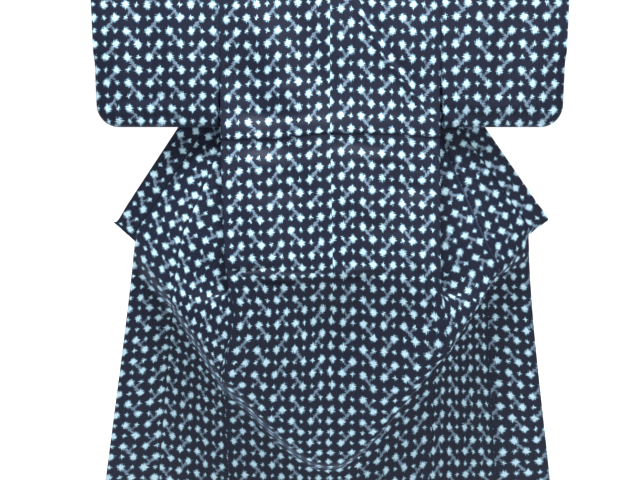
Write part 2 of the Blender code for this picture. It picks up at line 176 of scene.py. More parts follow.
# Blossoms and small crosses stand by turns in every row and column, each in the middle of a cell.
figure_cells = add_node(tree, "VectorMath", {"operation": "ADD"}, {0: cells, 1: (0.5, 0.5, 0)})
cell_number = add_node(tree, "VectorMath", {"operation": "FLOOR"}, {0: figure_cells})
half_number = add_node(tree, "VectorMath", {"operation": "DOT_PRODUCT"}, {
    0: cell_number, 1: (0.5, 0.5, 0)})
half_turn = add_node(tree, "Math", {"operation": "FRACT"}, {0: half_number})
in_cell = add_node(tree, "VectorMath", {"operation": "FRACTION"}, {0: figure_cells})
off_middle = add_node(tree, "VectorMath", {"operation": "MULTIPLY_ADD"}, {
    0: in_cell, 1: (COLUMN_PITCH, ROW_PITCH, 0), 2: (-COLUMN_PITCH / 2, -ROW_PITCH / 2, 0)})
distance = add_node(tree, "VectorMath", {"operation": "ABSOLUTE"}, {0: off_middle})
off = add_node(tree, "SeparateXYZ", (), {"Vector": distance})
# half_turn is 0 in a blossom's cell and a half in a small cross's.
reach_across, reach_down, roundness = [add_node(tree, "Math", {"operation": "MULTIPLY_ADD"}, {
    0: half_turn, 1: 2 * (cross - blossom), 2: blossom}) for blossom, cross in zip(BLOSSOM, SMALL_CROSS)]
petals = []
for axis, figure_reach in (("X", reach_across), ("Y", reach_down)):
    way_out = add_node(tree, "Math", {"operation": "DIVIDE"}, {0: off.outputs[axis], 1: figure_reach})
    petals.append(add_node(tree, "Math", {"operation": "POWER"}, {0: way_out, 1: roundness}))
petal = add_node(tree, "Math", {"operation": "ADD"}, {0: petals[0], 1: petals[1]})
figure, figure_core = [add_node(tree, "MapRange", {"interpolation_type": "SMOOTHSTEP"}, {
    "Value": petal, "From Min": fade[0], "From Max": fade[1],
    "To Min": 1.0, "To Max": 0.0}) for fade in (FIGURE_EDGE, FIGURE_MIDDLE)]

# The bars, on one half of the repeat that is mirrored and moved down a row for the other half.
cell_place = add_node(tree, "SeparateXYZ", (), {"Vector": cells})
past_half = add_node(tree, "Math", {"operation": "SUBTRACT"}, {
    0: cell_place.outputs["X"], 1: MIRROR_COLUMN})
from_middle = add_node(tree, "Math", {"operation": "WRAP"}, {
    0: past_half, 1: COLUMNS_IN_REPEAT / 2, 2: -COLUMNS_IN_REPEAT / 2})
mirrored = add_node(tree, "Math", {"operation": "ABSOLUTE"}, {0: from_middle})
which_half = add_node(tree, "Math", {"operation": "SIGN"}, {0: from_middle})
row_shift = add_node(tree, "Math", {"operation": "MULTIPLY_ADD"}, {
    0: which_half, 1: -0.5, 2: cell_place.outputs["Y"]})
row_place = add_node(tree, "Math", {"operation": "WRAP"}, {
    0: row_shift, 1: ROWS_IN_REPEAT / 2, 2: -ROWS_IN_REPEAT / 2})
half_place = add_node(tree, "CombineXYZ", (), {"X": mirrored, "Y": row_place})
on_bar = add_node(tree, "VectorMath", {"operation": "MULTIPLY_ADD"}, {
    0: half_place, 1: (COLUMN_PITCH, ROW_PITCH, 0), 2: (-COLUMN_PITCH, 0, 0)})
bar_length = math.hypot(COLUMN_PITCH, ROW_PITCH)
slope = (COLUMN_PITCH / bar_length, ROW_PITCH / bar_length)
strokes = []
for way, middle, end_from, end_to, width, side_from, side_to, strength in STROKES:
    run = add_node(tree, "VectorMath", {"operation": "DOT_PRODUCT"}, {
        0: on_bar, 1: (way * slope[0], slope[1], 0)})
    past = add_node(tree, "Math", {"operation": "SUBTRACT"}, {0: run, 1: middle * bar_length})
    reach = add_node(tree, "Math", {"operation": "ABSOLUTE"}, {0: past})
    aside = add_node(tree, "VectorMath", {"operation": "DOT_PRODUCT"}, {
        0: on_bar, 1: (slope[1], -way * slope[0], 0)})
    beside = add_node(tree, "Math", {"operation": "ABSOLUTE"}, {0: aside})
    breadth = add_node(tree, "MapRange", {"interpolation_type": "SMOOTHSTEP"}, {
        "Value": beside, "From Min": width * side_from, "From Max": width * side_to,
        "To Min": strength, "To Max": 0.0})
    end = add_node(tree, "MapRange", {"interpolation_type": "SMOOTHSTEP"}, {
        "Value": reach, "From Min": bar_length * end_from, "From Max": bar_length * end_to,
        "To Min": 1.0, "To Max": 0.0})
    strokes.append(add_node(tree, "Math", {"operation": "MULTIPLY"}, {0: breadth, 1: end}))
bar_and_branch = add_node(tree, "Math", {"operation": "MAXIMUM"}, {0: strokes[0], 1: strokes[1]})

# The dye took unevenly: pale threads in the bars, and some blossoms bluer than others.
dye_patches = add_node(tree, "Mapping", (), {
    "Vector": cloth_place, "Scale": (1 / DYE_PATCH, 1 / DYE_PATCH, 1)})
dye = add_node(tree, "TexNoise", {"noise_dimensions": "2D"}, {
    "Vector": dye_patches, "Scale": 1.0, "Detail": 2.0})
dyed = []
for drawn, (bluest, whitest, kept) in ((bar_and_branch, BAR_DYE), (figure_core, BLOSSOM_DYE)):
    took = add_node(tree, "MapRange", (), {
        "Value": dye, "From Min": bluest, "From Max": whitest, "To Min": kept, "To Max": 1.0})
    dyed.append(add_node(tree, "Math", {"operation": "MULTIPLY"}, {0: drawn, 1: took}))
bars, white_share = dyed
# Each colour is laid over the ones before it in its own share.
colour = from_hex(NAVY[0])
for share, code in ((warp_shift, NAVY[1]), (bars, BAR_BLUE), (figure, EDGE_BLUE), (white_share, WHITE)):
    colour = add_node(tree, "Mix", {"data_type": "RGBA"}, {
        "Factor": share, "A": colour, "B": from_hex(code)})
tree.links.new(colour.outputs["Result"], shader.inputs["Base Color"])
weave = add_node(tree, "Math", {"operation": "ADD"}, {0: warp_shift, 1: weft_shift})
weave_relief = add_node(tree, "Bump", (), {"Height": weave, **WEAVE_RELIEF})
tree.links.new(weave_relief.outputs["Normal"], shader.inputs["Normal"])
shader.inputs["Roughness"].default_value = CLOTH_ROUGHNESS
shader.inputs["Specular IOR Level"].default_value = SPECULAR_LEVEL
shader.inputs["Sheen Weight"].default_value = SHEEN
shader.inputs["Sheen Roughness"].default_value = SHEEN_ROUGHNESS
shader.inputs["Sheen Tint"].default_value = from_hex(SHEEN_BLUE)


# The back: two lengths joined by the centre seam, each sewn to its front down the side. It hangs
# from the rod, swells at the hip, and below it the slack rolls forward in two slanting folds that
# meet in a V at the bottom of the centre seam.
ROD_RADIUS = 0.0125
ROD_GAP = 0.0008
CLOTH = 0.0015
CLOTH_RADIUS = ROD_RADIUS + ROD_GAP + CLOTH / 2
OVER_ROD = CLOTH_RADIUS * math.pi / 2
SEAM_GAP = 0.0003
SEAM_PARTING = 0.0005
SHELL = 0.0008
SHOULDER = 0.300
NECK_HALF_WIDTH = 0.085
ROUND_NECK = (0.022, 0.012)
SIDES = {"left": -1, "right": 1}

# Stations down a seam: the cloth's length from the rod, the distance out from the middle, the place
# towards the wall (+) or the viewer (-), and the drop below the rod.
CENTRE_SEAM = [
    (0.00, 0.000, -CLOTH_RADIUS, 0.000),
    (0.28, 0.000, -0.016, 0.280),
    (0.45, 0.000, -0.036, 0.448),
    (0.70, 0.000, -0.082, 0.694),
    (0.85, 0.000, -0.106, 0.842),
    (0.93, 0.000, -0.094, 0.920),
    (1.37, 0.000, -0.098, 1.358),
    (1.52, 0.000, 0.018, 1.450),
    (1.64, 0.000, 0.030, 1.568),
]
SIDE_SEAM = {
    "left": [
        (0.00, 0.300, -CLOTH_RADIUS, 0.000),
        (0.28, 0.300, -0.012, 0.280),
        (0.45, 0.297, -0.030, 0.449),
        (0.70, 0.289, -0.082, 0.693),
        (0.85, 0.276, -0.114, 0.838),
        (0.93, 0.258, -0.118, 0.914),
        (1.13, 0.290, -0.118, 1.105),
        (1.31, 0.306, 0.018, 1.218),
        (1.64, 0.298, 0.030, 1.545),
    ],
    "right": [
        (0.00, 0.300, -CLOTH_RADIUS, 0.000),
        (0.28, 0.300, -0.012, 0.280),
        (0.45, 0.300, -0.030, 0.449),
        (0.70, 0.298, -0.082, 0.693),
        (0.85, 0.297, -0.112, 0.838),
        (0.93, 0.302, -0.120, 0.917),
        (1.05, 0.321, -0.124, 1.034),
        (1.20, 0.312, 0.012, 1.078),
        (1.64, 0.300, 0.030, 1.515),
    ],
}
# Rows of points down a panel: over the rod, to the level where the fold starts, to its lip, to its
# foot and to the hem.
FOLD_LEVEL = 0.80
FIRST_LEVEL = 0.03
NECK_LEVEL = 0.75 * FIRST_LEVEL
ROWS = {"over rod": 8, "first": 6, "upper": 150, "to tuck": 90, "below tuck": 70, "lip": 90,
        "foot": 40, "hem": 50}
BACK_PARTS = ("over rod", "first", "to tuck", "below tuck", "lip", "foot", "hem")
BACK_COLUMNS = 64

# Creases, in metres: how far each stands out (or in, if less than 0), its half width, and its line
# of points across (x) and up (z). Those of the body show on the back and on what lies behind it.
# Each fades out towards both ends of its line, to what the sine gives at this share of half a turn.
CREASE_END = 0.04
CREASE_EASE = 0.7
FAR_AWAY = 9.0
BODY_CREASES = [
    (-0.0068, 0.006, (-0.285, -0.812), (-0.22, -0.813), (-0.14, -0.800)),
    (0.0072, 0.008, (-0.20, -0.829), (-0.10, -0.831), (0.00, -0.829)),
    (-0.0066, 0.006, (-0.20, -0.841), (-0.14, -0.842), (-0.08, -0.840)),
    (0.0062, 0.009, (0.00, -0.823), (0.06, -0.816), (0.13, -0.810)),
    (-0.0050, 0.007, (0.00, -0.838), (0.07, -0.831), (0.14, -0.825)),
    (-0.0060, 0.010, (-0.266, -0.836), (-0.258, -0.822), (-0.246, -0.812)),
    (0.0042, 0.010, (0.062, -0.07), (0.080, -0.126), (0.115, -0.178), (0.149, -0.252), (0.184, -0.285),
     (0.225, -0.335), (0.25, -0.38)),
    (-0.0046, 0.010, (0.082, -0.07), (0.100, -0.126), (0.135, -0.175), (0.170, -0.245), (0.205, -0.280),
     (0.245, -0.325)),
    (-0.0035, 0.012, (0.198, -0.34), (0.212, -0.40), (0.224, -0.445)),
    (-0.0025, 0.008, (0.066, -0.525), (0.17, -0.532), (0.27, -0.550)),
    (-0.0050, 0.014, (0.150, -0.735), (0.195, -0.785), (0.255, -0.850)),
    (0.0045, 0.014, (0.175, -0.725), (0.222, -0.775), (0.275, -0.825)),
    (0.0095, 0.055, (-0.24, -0.06), (-0.15, -0.24), (-0.09, -0.42)),
    (-0.0090, 0.050, (-0.10, -0.10), (-0.05, -0.26), (0.01, -0.42)),
    (0.0075, 0.050, (0.24, -0.08), (0.25, -0.22), (0.27, -0.36)),
    (-0.0080, 0.045, (-0.28, -0.26), (-0.20, -0.36), (-0.17, -0.45)),
    (0.0075, 0.055, (0.04, -0.48), (0.07, -0.62), (0.10, -0.76)),
    (-0.0085, 0.045, (0.22, -0.47), (0.20, -0.62), (0.16, -0.76)),
    (0.0085, 0.040, (-0.20, -0.48), (-0.21, -0.64), (-0.17, -0.78)),
    (-0.0080, 0.036, (-0.10, -0.48), (-0.09, -0.64), (-0.14, -0.79)),
    (0.0080, 0.050, (-0.17, -0.90), (-0.10, -1.02), (-0.04, -1.16)),
    (-0.0080, 0.045, (-0.06, -0.88), (-0.01, -1.00), (0.03, -1.14)),
    (0.0080, 0.050, (0.10, -0.88), (0.13, -1.00), (0.08, -1.14)),
    (-0.0070, 0.040, (0.22, -0.88), (0.21, -0.96), (0.16, -1.06)),
    (0.0040, 0.020, (-0.25, -0.325), (-0.15, -0.335), (-0.04, -0.325)),
    (-0.0042, 0.018, (-0.27, -0.390), (-0.15, -0.400), (-0.04, -0.395)),
    (-0.0045, 0.017, (-0.27, -0.492), (-0.19, -0.488), (-0.11, -0.482)),
    (0.0042, 0.020, (-0.22, -0.532), (-0.12, -0.535), (-0.03, -0.525)),
    (-0.0042, 0.018, (-0.24, -0.600), (-0.14, -0.612), (-0.04, -0.600)),
    (-0.0048, 0.017, (0.00, -0.474), (0.07, -0.476), (0.14, -0.486)),
    (0.0048, 0.020, (0.07, -0.522), (0.15, -0.516), (0.23, -0.530)),
    (-0.0055, 0.022, (0.12, -0.578), (0.19, -0.600), (0.28, -0.600)),
    (-0.0048, 0.020, (0.06, -0.655), (0.11, -0.700), (0.17, -0.715)),
]
# The tuck: a fold across the back that hides one row of figures. The cloth above it stands proud by
# two layers, turns in along this line of (x, z), runs up behind itself and comes down again. Each of
# its turned edges takes up a turn of cloth, and the cloth rises to it over the heights of the rise.
TUCK_LINE = [(-0.300, -0.462), (-0.149, -0.462), (-0.100, -0.455), (-0.030, -0.447), (0.169, -0.447),
             (0.288, -0.457), (0.300, -0.458)]
TUCK_DEPTH = 0.0184
TUCK_SLACK = 0.0015
TUCK_TURN = 0.0016
TUCK_ROUNDING = 0.0005
TUCK_RISE = (0.060, TUCK_DEPTH + 0.004)
LAYER = 0.00105
# Each row of the tuck: its height over the turned edge, its layer (2 is the outer one) and the cloth's
# length from the edge.
TUCK_ROWS = np.array([
    (-TUCK_ROUNDING, 1.5, TUCK_TURN / 2),
    (0.0, 1.0, TUCK_TURN),
    (TUCK_DEPTH / 2, 1.0, TUCK_TURN + TUCK_DEPTH / 2),
    (TUCK_DEPTH, 1.0, TUCK_TURN + TUCK_DEPTH),
    (TUCK_DEPTH + TUCK_ROUNDING, 0.5, 1.5 * TUCK_TURN + TUCK_DEPTH),
    (TUCK_DEPTH, 0.0, 2 * TUCK_TURN + TUCK_DEPTH),
    (TUCK_DEPTH / 2, 0.0, 2 * TUCK_TURN + 1.5 * TUCK_DEPTH),
])
HIDDEN_BY_TUCK = 2 * TUCK_TURN + 2 * TUCK_DEPTH
# A soft fold slants down across the right back, along this line of (x, drop), and takes up cloth too.
SLANTING_FOLD = [(0.050, 0.0), (0.080, 0.126), (0.115, 0.178), (0.149, 0.252), (0.184, 0.285),
                 (0.219, 0.328), (0.300, 0.420)]
SLANTING_FOLD_WIDTH = 0.014
HIDDEN_BY_FOLD = 0.016
# Each seam's allowance runs on behind the next piece, so that no light comes through. At the side
# seam it starts at these lengths from the rod, and the centre seam has none in these rows by the tuck.
ALLOWANCE = 0.009
ALLOWANCE_GAP = 0.0011
SIDE_ALLOWANCE_START = (1.00, 1.04)
ROWS_BY_TUCK = (-5, 6)


def smooth_step(low, high, value):
    """0 below low, 1 above high, with an easy curve between."""
    t = np.clip((value - low) / (high - low), 0.0, 1.0)
    return t * t * (3 - 2 * t)


def along(stations, v):
    """The points at lengths v on a smooth line through stations, with no overshoot."""
    table = np.array(stations, float)
    v = np.asarray(v, float)
    knots, values = table[:, 0], table[:, 1:]
    steps = np.diff(knots)[:, None]
    slopes = np.diff(values, axis=0) / steps
    tangents = np.zeros_like(values)
    tangents[0], tangents[-1] = slopes[0], slopes[-1]
    same_way = slopes[:-1] * slopes[1:] > 0
    total = np.where(same_way, slopes[:-1] + slopes[1:], 1.0)
    tangents[1:-1] = np.where(same_way, 2 * slopes[:-1] * slopes[1:] / total, 0.0)
    i = np.clip(np.searchsorted(knots, v) - 1, 0, len(knots) - 2)
    h = steps[i]
    t = ((v - knots[i]) / h[..., 0])[..., None]
    return (values[i] * (2 * t ** 3 - 3 * t ** 2 + 1) + h * tangents[i] * (t ** 3 - 2 * t ** 2 + t)
            + values[i + 1] * (3 * t ** 2 - 2 * t ** 3) + h * tangents[i + 1] * (t ** 3 - t ** 2))


def between(first, second, share):
    """The stations of a line that lies between two others."""
    return np.array(first) * (1 - share) + np.array(second) * share


def spaced(knots, counts):
    """Lengths from knot to knot, in counts[i] even steps from knot i to the next."""
    lengths = [np.linspace(a, b, n, endpoint=False) for a, b, n in zip(knots, knots[1:], counts)]
    return np.append(np.concatenate(lengths), knots[-1])


def over_rod(points, v):
    """Points at the rod's level, carried back up over the rod by the lengths -v, where v is under 0."""
    angle = np.maximum(-np.asarray(v), 0.0) / CLOTH_RADIUS
    points = np.array(points, float)
    up = -CLOTH_RADIUS * np.sin(angle)
    points[..., 2] = np.where(angle > 0, up, points[..., 2])
    points[..., 1] = np.where(angle > 0, points[..., 1] * np.cos(angle), points[..., 1])
    return points


def placed(side, points):
    """World places of points of (out, depth, drop)."""
    return np.array(points) * (SIDES[side], 1, -1)


def creased(points, creases):
    """Points pushed towards the viewer by soft creases that fade out at their ends."""
    push = np.zeros(points.shape[:-1])
    flat = points[..., [0, 2]]
    for height, width, *line in creases:
        line = np.array(line)
        runs = np.linalg.norm(np.diff(line, axis=0), axis=1)
        nearest, share = np.full(push.shape, FAR_AWAY), np.zeros(push.shape)
        for i, (a, b) in enumerate(zip(line, line[1:])):
            t = np.clip(((flat - a) @ (b - a)) / runs[i] ** 2, 0, 1)
            away = np.linalg.norm(flat - (a + t[..., None] * (b - a)), axis=-1)
            closer = away < nearest
            nearest = np.where(closer, away, nearest)
            share = np.where(closer, (runs[:i].sum() + t * runs[i]) / runs.sum(), share)
        fade = np.sin(np.pi * (CREASE_END + (1 - 2 * CREASE_END) * share)) ** CREASE_EASE
        push += height * fade * np.exp(-(nearest / width) ** 2)
    return points - push[..., None] * (0, 1, 0)


def cloth_piece(name, points, measures):
    """A thin shell through points[row, column], whose UV map is the cloth's own measures."""
    rows, columns = points.shape[:2]
    bpy.ops.mesh.primitive_grid_add(x_subdivisions=columns - 1, y_subdivisions=rows - 1, size=2)
    piece = bpy.context.object
    piece.name = piece.data.name = name
    piece.data.vertices.foreach_set("co", points.reshape(-1).astype(np.float32))
    corner_points = np.zeros(len(piece.data.loops), int)
    piece.data.loops.foreach_get("vertex_index", corner_points)
    uv = measures.reshape(-1, 2)[corner_points]
    piece.data.uv_layers["UVMap"].data.foreach_set("uv", uv.reshape(-1).astype(np.float32))
    piece.data.update()
    piece.data.materials.append(kasuri)
    bpy.ops.object.shade_smooth()
    wall = piece.modifiers.new("thickness", "SOLIDIFY")
    wall.thickness = SHELL
    wall.offset = 0.0
    bpy.ops.object.modifier_apply(modifier=wall.name)
    piece.select_set(False)
    return piece


def dress(piece, node):
    """Hide the frame's part that a cloth piece stands for, and hang the piece on the root."""
    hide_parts(node)
    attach(piece, "root")


def panel_lengths(stations, top):
    """The cloth's length from the rod at each row of points down a line that starts at top."""
    lip, foot, hem = (stations[i][0] for i in (-3, -2, -1))
    counts = [ROWS[part] for part in ("upper", "lip", "foot", "hem")]
    return spaced([top, FOLD_LEVEL, lip, foot, hem], counts)


def turned_in(points, measures, widths, gap=ALLOWANCE_GAP):
    """A panel with its last column carried on behind the next piece, by a seam allowance for each row."""
    edge = points[:, -1]
    across = edge - points[:, -2]
    across /= np.linalg.norm(across, axis=1)[:, None]
    behind = np.cross(np.gradient(edge, axis=0), across)
    behind /= np.linalg.norm(behind, axis=1)[:, None]
    behind *= gap * np.sign(behind[:, 1].sum())
    onward = measures[:, -1] - measures[:, -2]
    onward /= np.linalg.norm(onward, axis=1)[:, None]
    turn = np.full(len(edge), SEAM_PARTING)[:, None]
    widths = np.maximum(widths, 2 * SEAM_PARTING)[:, None]
    points = np.concatenate([points, (edge + behind + across * turn)[:, None],
                             (edge + behind + across * widths)[:, None]], axis=1)
    measures = np.concatenate([measures, (measures[:, -1] + onward * turn)[:, None],
                               (measures[:, -1] + onward * widths)[:, None]], axis=1)
    return points, measures


# How the kasuri lies on each panel: where its repeat starts across and down, in metres, which way up
# the cloth runs (1 as it was woven, -1 turned end for end), and how much cloth the small waves of the
# panel take up, across and down, for each metre of its form.
BACK_REPEAT = {"left": (0.0562, 0.0516, 1, 1.065, 0.985), "right": (-0.0572, -0.0636, -1, 1.065, 0.985)}
# Above and below the tuck the waves take up a little more cloth, a crease at the left hip hides some,
# and the rows sag from the middle to the sides.
MORE_WAVES = {"left": 0.039, "right": 0.015}
WAVES_BELOW = {"left": 0.065, "right": 0.072}
HIDDEN_AT_HIP = {"left": 0.016, "right": 0.0}
HIP_CREASE = (0.805, 0.835)
SAG = 0.05
SAG_MIDDLE = 0.13
# The centre seam bows a little to the right at the hip: the drop below the rod and how far it goes.
SEAM_BOW = [(0.45, 0.0), (0.62, 0.004), (0.83, 0.008), (1.00, 0.006), (1.30, 0.0)]


def on_cloth(across, down, repeat):
    """The cloth's own measures at places across and down a panel, from where its repeat starts."""
    start_across, start_down, way, full_across, full_down = repeat
    measures = np.broadcast_arrays(way * (across * full_across - start_across),
                                   way * (down * full_down - start_down))
    return np.stack(measures, axis=-1)


for side in SIDES:
    columns, measures = [], []
    for share in np.linspace(0, 1, BACK_COLUMNS + 1):
        # Near the middle the panel keeps the centre seam's form, and it eases over to the side seam's.
        line = between(CENTRE_SEAM, SIDE_SEAM[side], share ** 2 * (2 - share))
        line[:, 1] = share * np.array(SIDE_SEAM[side])[:, 1]
        out = share * SHOULDER
        neck = smooth_step(NECK_HALF_WIDTH - ROUND_NECK[0], NECK_HALF_WIDTH + ROUND_NECK[1], out)
        top = -(OVER_ROD - SEAM_GAP) * neck
        over = NECK_LEVEL * (1 - neck)
        tuck = TUCK_SLACK - np.interp(SIDES[side] * out, *zip(*TUCK_LINE))
        lip, foot, hem = line[-3:, 0]
        v = spaced([top, over, FIRST_LEVEL, tuck, FOLD_LEVEL, lip, foot, hem],
                   [ROWS[part] for part in BACK_PARTS])
        last = ROWS["over rod"] + ROWS["first"] + ROWS["to tuck"]
        points = over_rod(along(line, np.maximum(v, 0.0)), v)
        upper = points[:last + 1].copy()
        upper[:, 1] -= 2 * LAYER * smooth_step(tuck - TUCK_RISE[0], tuck - TUCK_RISE[1], v[:last + 1])
        tucked = along(line, tuck - TUCK_ROWS[:, 0])
        tucked[:, 1] -= LAYER * TUCK_ROWS[:, 1]
        points = np.concatenate([upper, tucked, points[last:]])
        down = np.concatenate([v[:last + 1], tuck + TUCK_ROWS[:, 2], v[last:] + HIDDEN_BY_TUCK])
        down -= MORE_WAVES[side] * np.maximum(tuck - down, 0.0) + SAG * (out - SAG_MIDDLE)
        if side == "right":
            past_fold = out - np.interp(points[:, 2], *zip(*[(drop, x) for x, drop in SLANTING_FOLD]))
            down -= HIDDEN_BY_FOLD * smooth_step(-SLANTING_FOLD_WIDTH, SLANTING_FOLD_WIDTH, past_fold)
        down += WAVES_BELOW[side] * np.maximum(down - tuck - HIDDEN_BY_TUCK, 0.0)
        down += HIDDEN_AT_HIP[side] * smooth_step(*HIP_CREASE, points[:, 2])
        points[:, 0] += SIDES[side] * (1 - share) * np.interp(points[:, 2], *zip(*SEAM_BOW))
        points[:, 0] += SEAM_PARTING / 2 * (1 - 2 * share)
        columns.append(placed(side, points))
        measures.append(on_cloth(SIDES[side] * out, down, BACK_REPEAT[side]))
    points = creased(np.stack(columns, axis=1), BODY_CREASES)
    measures = np.stack(measures, axis=1)
    rows = np.arange(len(points))
    below_tuck = rows - last - len(TUCK_ROWS)
    side_length = np.where(below_tuck > 0, v[np.clip(below_tuck + last - 1, 0, len(v) - 1)], 0.0)
    widths = ALLOWANCE * smooth_step(*SIDE_ALLOWANCE_START, side_length)
    points, measures = turned_in(points, measures, widths)
    if side == "left":
        by_tuck = (rows > last + ROWS_BY_TUCK[0]) & (rows < last + ROWS_BY_TUCK[1])
        widths = np.where(by_tuck, 0.0, ALLOWANCE)
        points, measures = turned_in(points[:, ::-1], measures[:, ::-1], widths)
    back = cloth_piece("cloth_back_" + side, points, measures)
    dress(back, "back_" + side)


# The fronts: the other ends of the same two lengths, over the shoulder and down on the far side.
# Each is folded back on itself along a slanting crease behind the back, so that its far edge stands
# out beyond the side seam, and below it hangs in the slanting fold with the back.
FRONT_WIDTH = 0.235
FRONT_WIDTH_AT_NECK = 0.215
OVERLAP_START = 0.23
OVERLAP_WIDTH = 0.134
COLLAR_END = 0.85
SEWN_TO_SLEEVE = 0.28
SIDE_SEAM_TOP = 0.40
FOLD_RADIUS = 0.006
# Lengths from the rod: the fold back starts and is complete at the wing's top, and from the hanging's
# start to its end the cloth leaves the wing and comes to hang between the side seam and the overlap.
FOLD_START = 0.06
WING_TOP = 0.12
WING_FOOT = 0.80
HANGING_START = 0.84
HANGING_END = 0.98
CREASE_ANGLE = {"left": math.radians(11.25), "right": math.radians(12.0)}
LOWER_OVERLAP_SEAM = {
    "left": [
        (0.88, 0.423, -0.050, 0.806),
        (0.98, 0.433, -0.072, 0.900),
        (1.10, 0.452, 0.018, 0.972),
        (1.64, 0.515, 0.030, 1.506),
    ],
    "right": [
        (0.86, 0.455, -0.020, 0.776),
        (0.92, 0.478, -0.024, 0.830),
        (1.00, 0.457, 0.024, 0.874),
        (1.64, 0.503, 0.030, 1.510),
    ],
}
LOWER_FRONT_EDGE = {
    "left": [
        (0.87, 0.556, 0.030, 0.747),
        (0.90, 0.561, 0.030, 0.776),
        (0.96, 0.569, 0.030, 0.836),
        (1.64, 0.676, 0.030, 1.506),
    ],
    "right": [
        (0.87, 0.571, 0.030, 0.735),
        (0.90, 0.573, 0.030, 0.765),
        (0.96, 0.577, 0.030, 0.825),
        (1.64, 0.667, 0.030, 1.498),
    ],
}
# The cloth's length from the rod, and the depth of the crease, of the overlap's seam and of the
# collar's seam.
WING_DEPTH = {
    "left": [
        (0.12, 0.0070, 0.034, 0.034),
        (0.24, 0.0050, 0.032, 0.032),
        (0.45, -0.0120, 0.024, 0.031),
        (0.70, -0.0620, -0.014, 0.030),
        (0.80, -0.0860, -0.034, 0.030),
    ],
    "right": [
        (0.12, 0.0070, 0.034, 0.034),
        (0.24, 0.0050, 0.032, 0.032),
        (0.45, -0.0120, 0.026, 0.031),
        (0.70, -0.0620, 0.000, 0.030),
        (0.80, -0.0860, -0.014, 0.030),
    ],
}
# The crease's place across a front where it isn't folded yet, and how far its three points spread.
CREASE_ACROSS = 0.4
CREASE_SPREAD = 0.08
ROW_SHARES = [20, 8, 8, 24]
# The lengths from the rod between which a front comes away from the sleeve's seam, stays behind the
# back, and is parted from it.
SLEEVE_SEAM_END = 0.8 * SEWN_TO_SLEEVE
BEHIND_END = (0.90, 1.00)
PARTED = (0.75, 0.88)
# The groove along the overlap's seam: its depth and half width, and the lengths that it runs between.
SEAM_GROOVE = (0.0060, 0.0075)
GROOVE_RUN = (0.4, 1.05)
OVERLAP_ALLOWANCE_START = (0.26, 0.30)
FRONT_CREASES = BODY_CREASES + [
    (0.0030, 0.014, (-0.36, -0.62), (-0.40, -0.72), (-0.46, -0.84)),
    (-0.0030, 0.012, (-0.31, -0.60), (-0.36, -0.74), (-0.43, -0.88)),
    (0.0028, 0.014, (0.36, -0.60), (0.42, -0.72), (0.47, -0.80)),
    (-0.0028, 0.012, (0.33, -0.66), (0.38, -0.76), (0.42, -0.84)),
    (0.0035, 0.020, (-0.40, -1.02), (-0.43, -1.22), (-0.45, -1.46)),
    (-0.0035, 0.018, (-0.36, -1.08), (-0.38, -1.28), (-0.40, -1.50)),
    (0.0035, 0.020, (0.40, -1.00), (0.42, -1.22), (0.43, -1.46)),
    (-0.0035, 0.018, (0.45, -0.98), (0.47, -1.20), (0.49, -1.44)),
]


def through(points, counts):
    """A rounded line through points, cut into counts[i] steps from point i to the next."""
    points = [np.array(p, float) for p in points]
    ends = [2 * points[0] - points[1]] + points + [2 * points[-1] - points[-2]]
    line = []
    for i, count in enumerate(counts):
        p = ends[i:i + 4]
        knots = np.append(0.0, np.cumsum([math.sqrt(np.linalg.norm(b - a)) for a, b in zip(p, p[1:])]))
        share = np.arange(count)[:, None] / count
        t = knots[1] + (knots[2] - knots[1]) * share
        level = list(p)
        for width in (1, 2):
            level = [((knots[j + width] - t) * level[j] + (t - knots[j]) * level[j + 1])
                     / (knots[j + width] - knots[j]) for j in range(len(level) - 1)]
        line.append(level[0] * (1 - share) + level[1] * share)
    return np.concatenate(line + [points[-1][None]])


def folded_back(side, across, v):
    """Out and drop of a point of a front sheet, across from its side seam, folded over the crease."""
    angle = CREASE_ANGLE[side]
    crease = np.array([math.sin(angle), math.cos(angle)])
    neck = np.array([NECK_HALF_WIDTH, 0.0])
    point = np.array([SHOULDER - across, v]) - neck
    return neck + 2 * point.dot(crease) * crease - point


def overlap_width(v):
    """The overlap's width where its slanting edge carries the collar."""
    return OVERLAP_WIDTH * (v - OVERLAP_START) / (COLLAR_END - OVERLAP_START)


def overlap_seam(side):
    """Stations down the seam between a front and its overlap, which starts as the neck edge."""
    line = [(0.0, NECK_HALF_WIDTH, CLOTH_RADIUS, 0.0)]
    for v, _, depth, _ in WING_DEPTH[side]:
        widening = min(v / OVERLAP_START, 1.0)
        across = FRONT_WIDTH_AT_NECK + (FRONT_WIDTH - FRONT_WIDTH_AT_NECK) * widening
        out, drop = folded_back(side, across, v)
        line.append((v, out, depth, drop))
    return line + LOWER_OVERLAP_SEAM[side]


def front_creases(side):
    """The creases of a front and its overlap, with the groove that the seam between them pulls in."""
    groove = [(SIDES[side] * out, -drop) for v, out, _, drop in overlap_seam(side)
              if GROOVE_RUN[0] < v < GROOVE_RUN[1]]
    return FRONT_CREASES + [(-SEAM_GROOVE[0], SEAM_GROOVE[1], *groove)]


def front_edge(side):
    """Stations down the overlap's outer edge, from its top by the collar's seam to the hem."""
    levels = [row[0] for row in WING_DEPTH[side][1:]] + [COLLAR_END]
    depths = [row[3] for row in WING_DEPTH[side][1:]] + [LOWER_FRONT_EDGE[side][0][2]]
    line = []
    for v, depth in zip(levels, depths):
        out, drop = folded_back(side, FRONT_WIDTH + overlap_width(v), v)
        line.append((v, out, depth, drop))
    return line + LOWER_FRONT_EDGE[side]


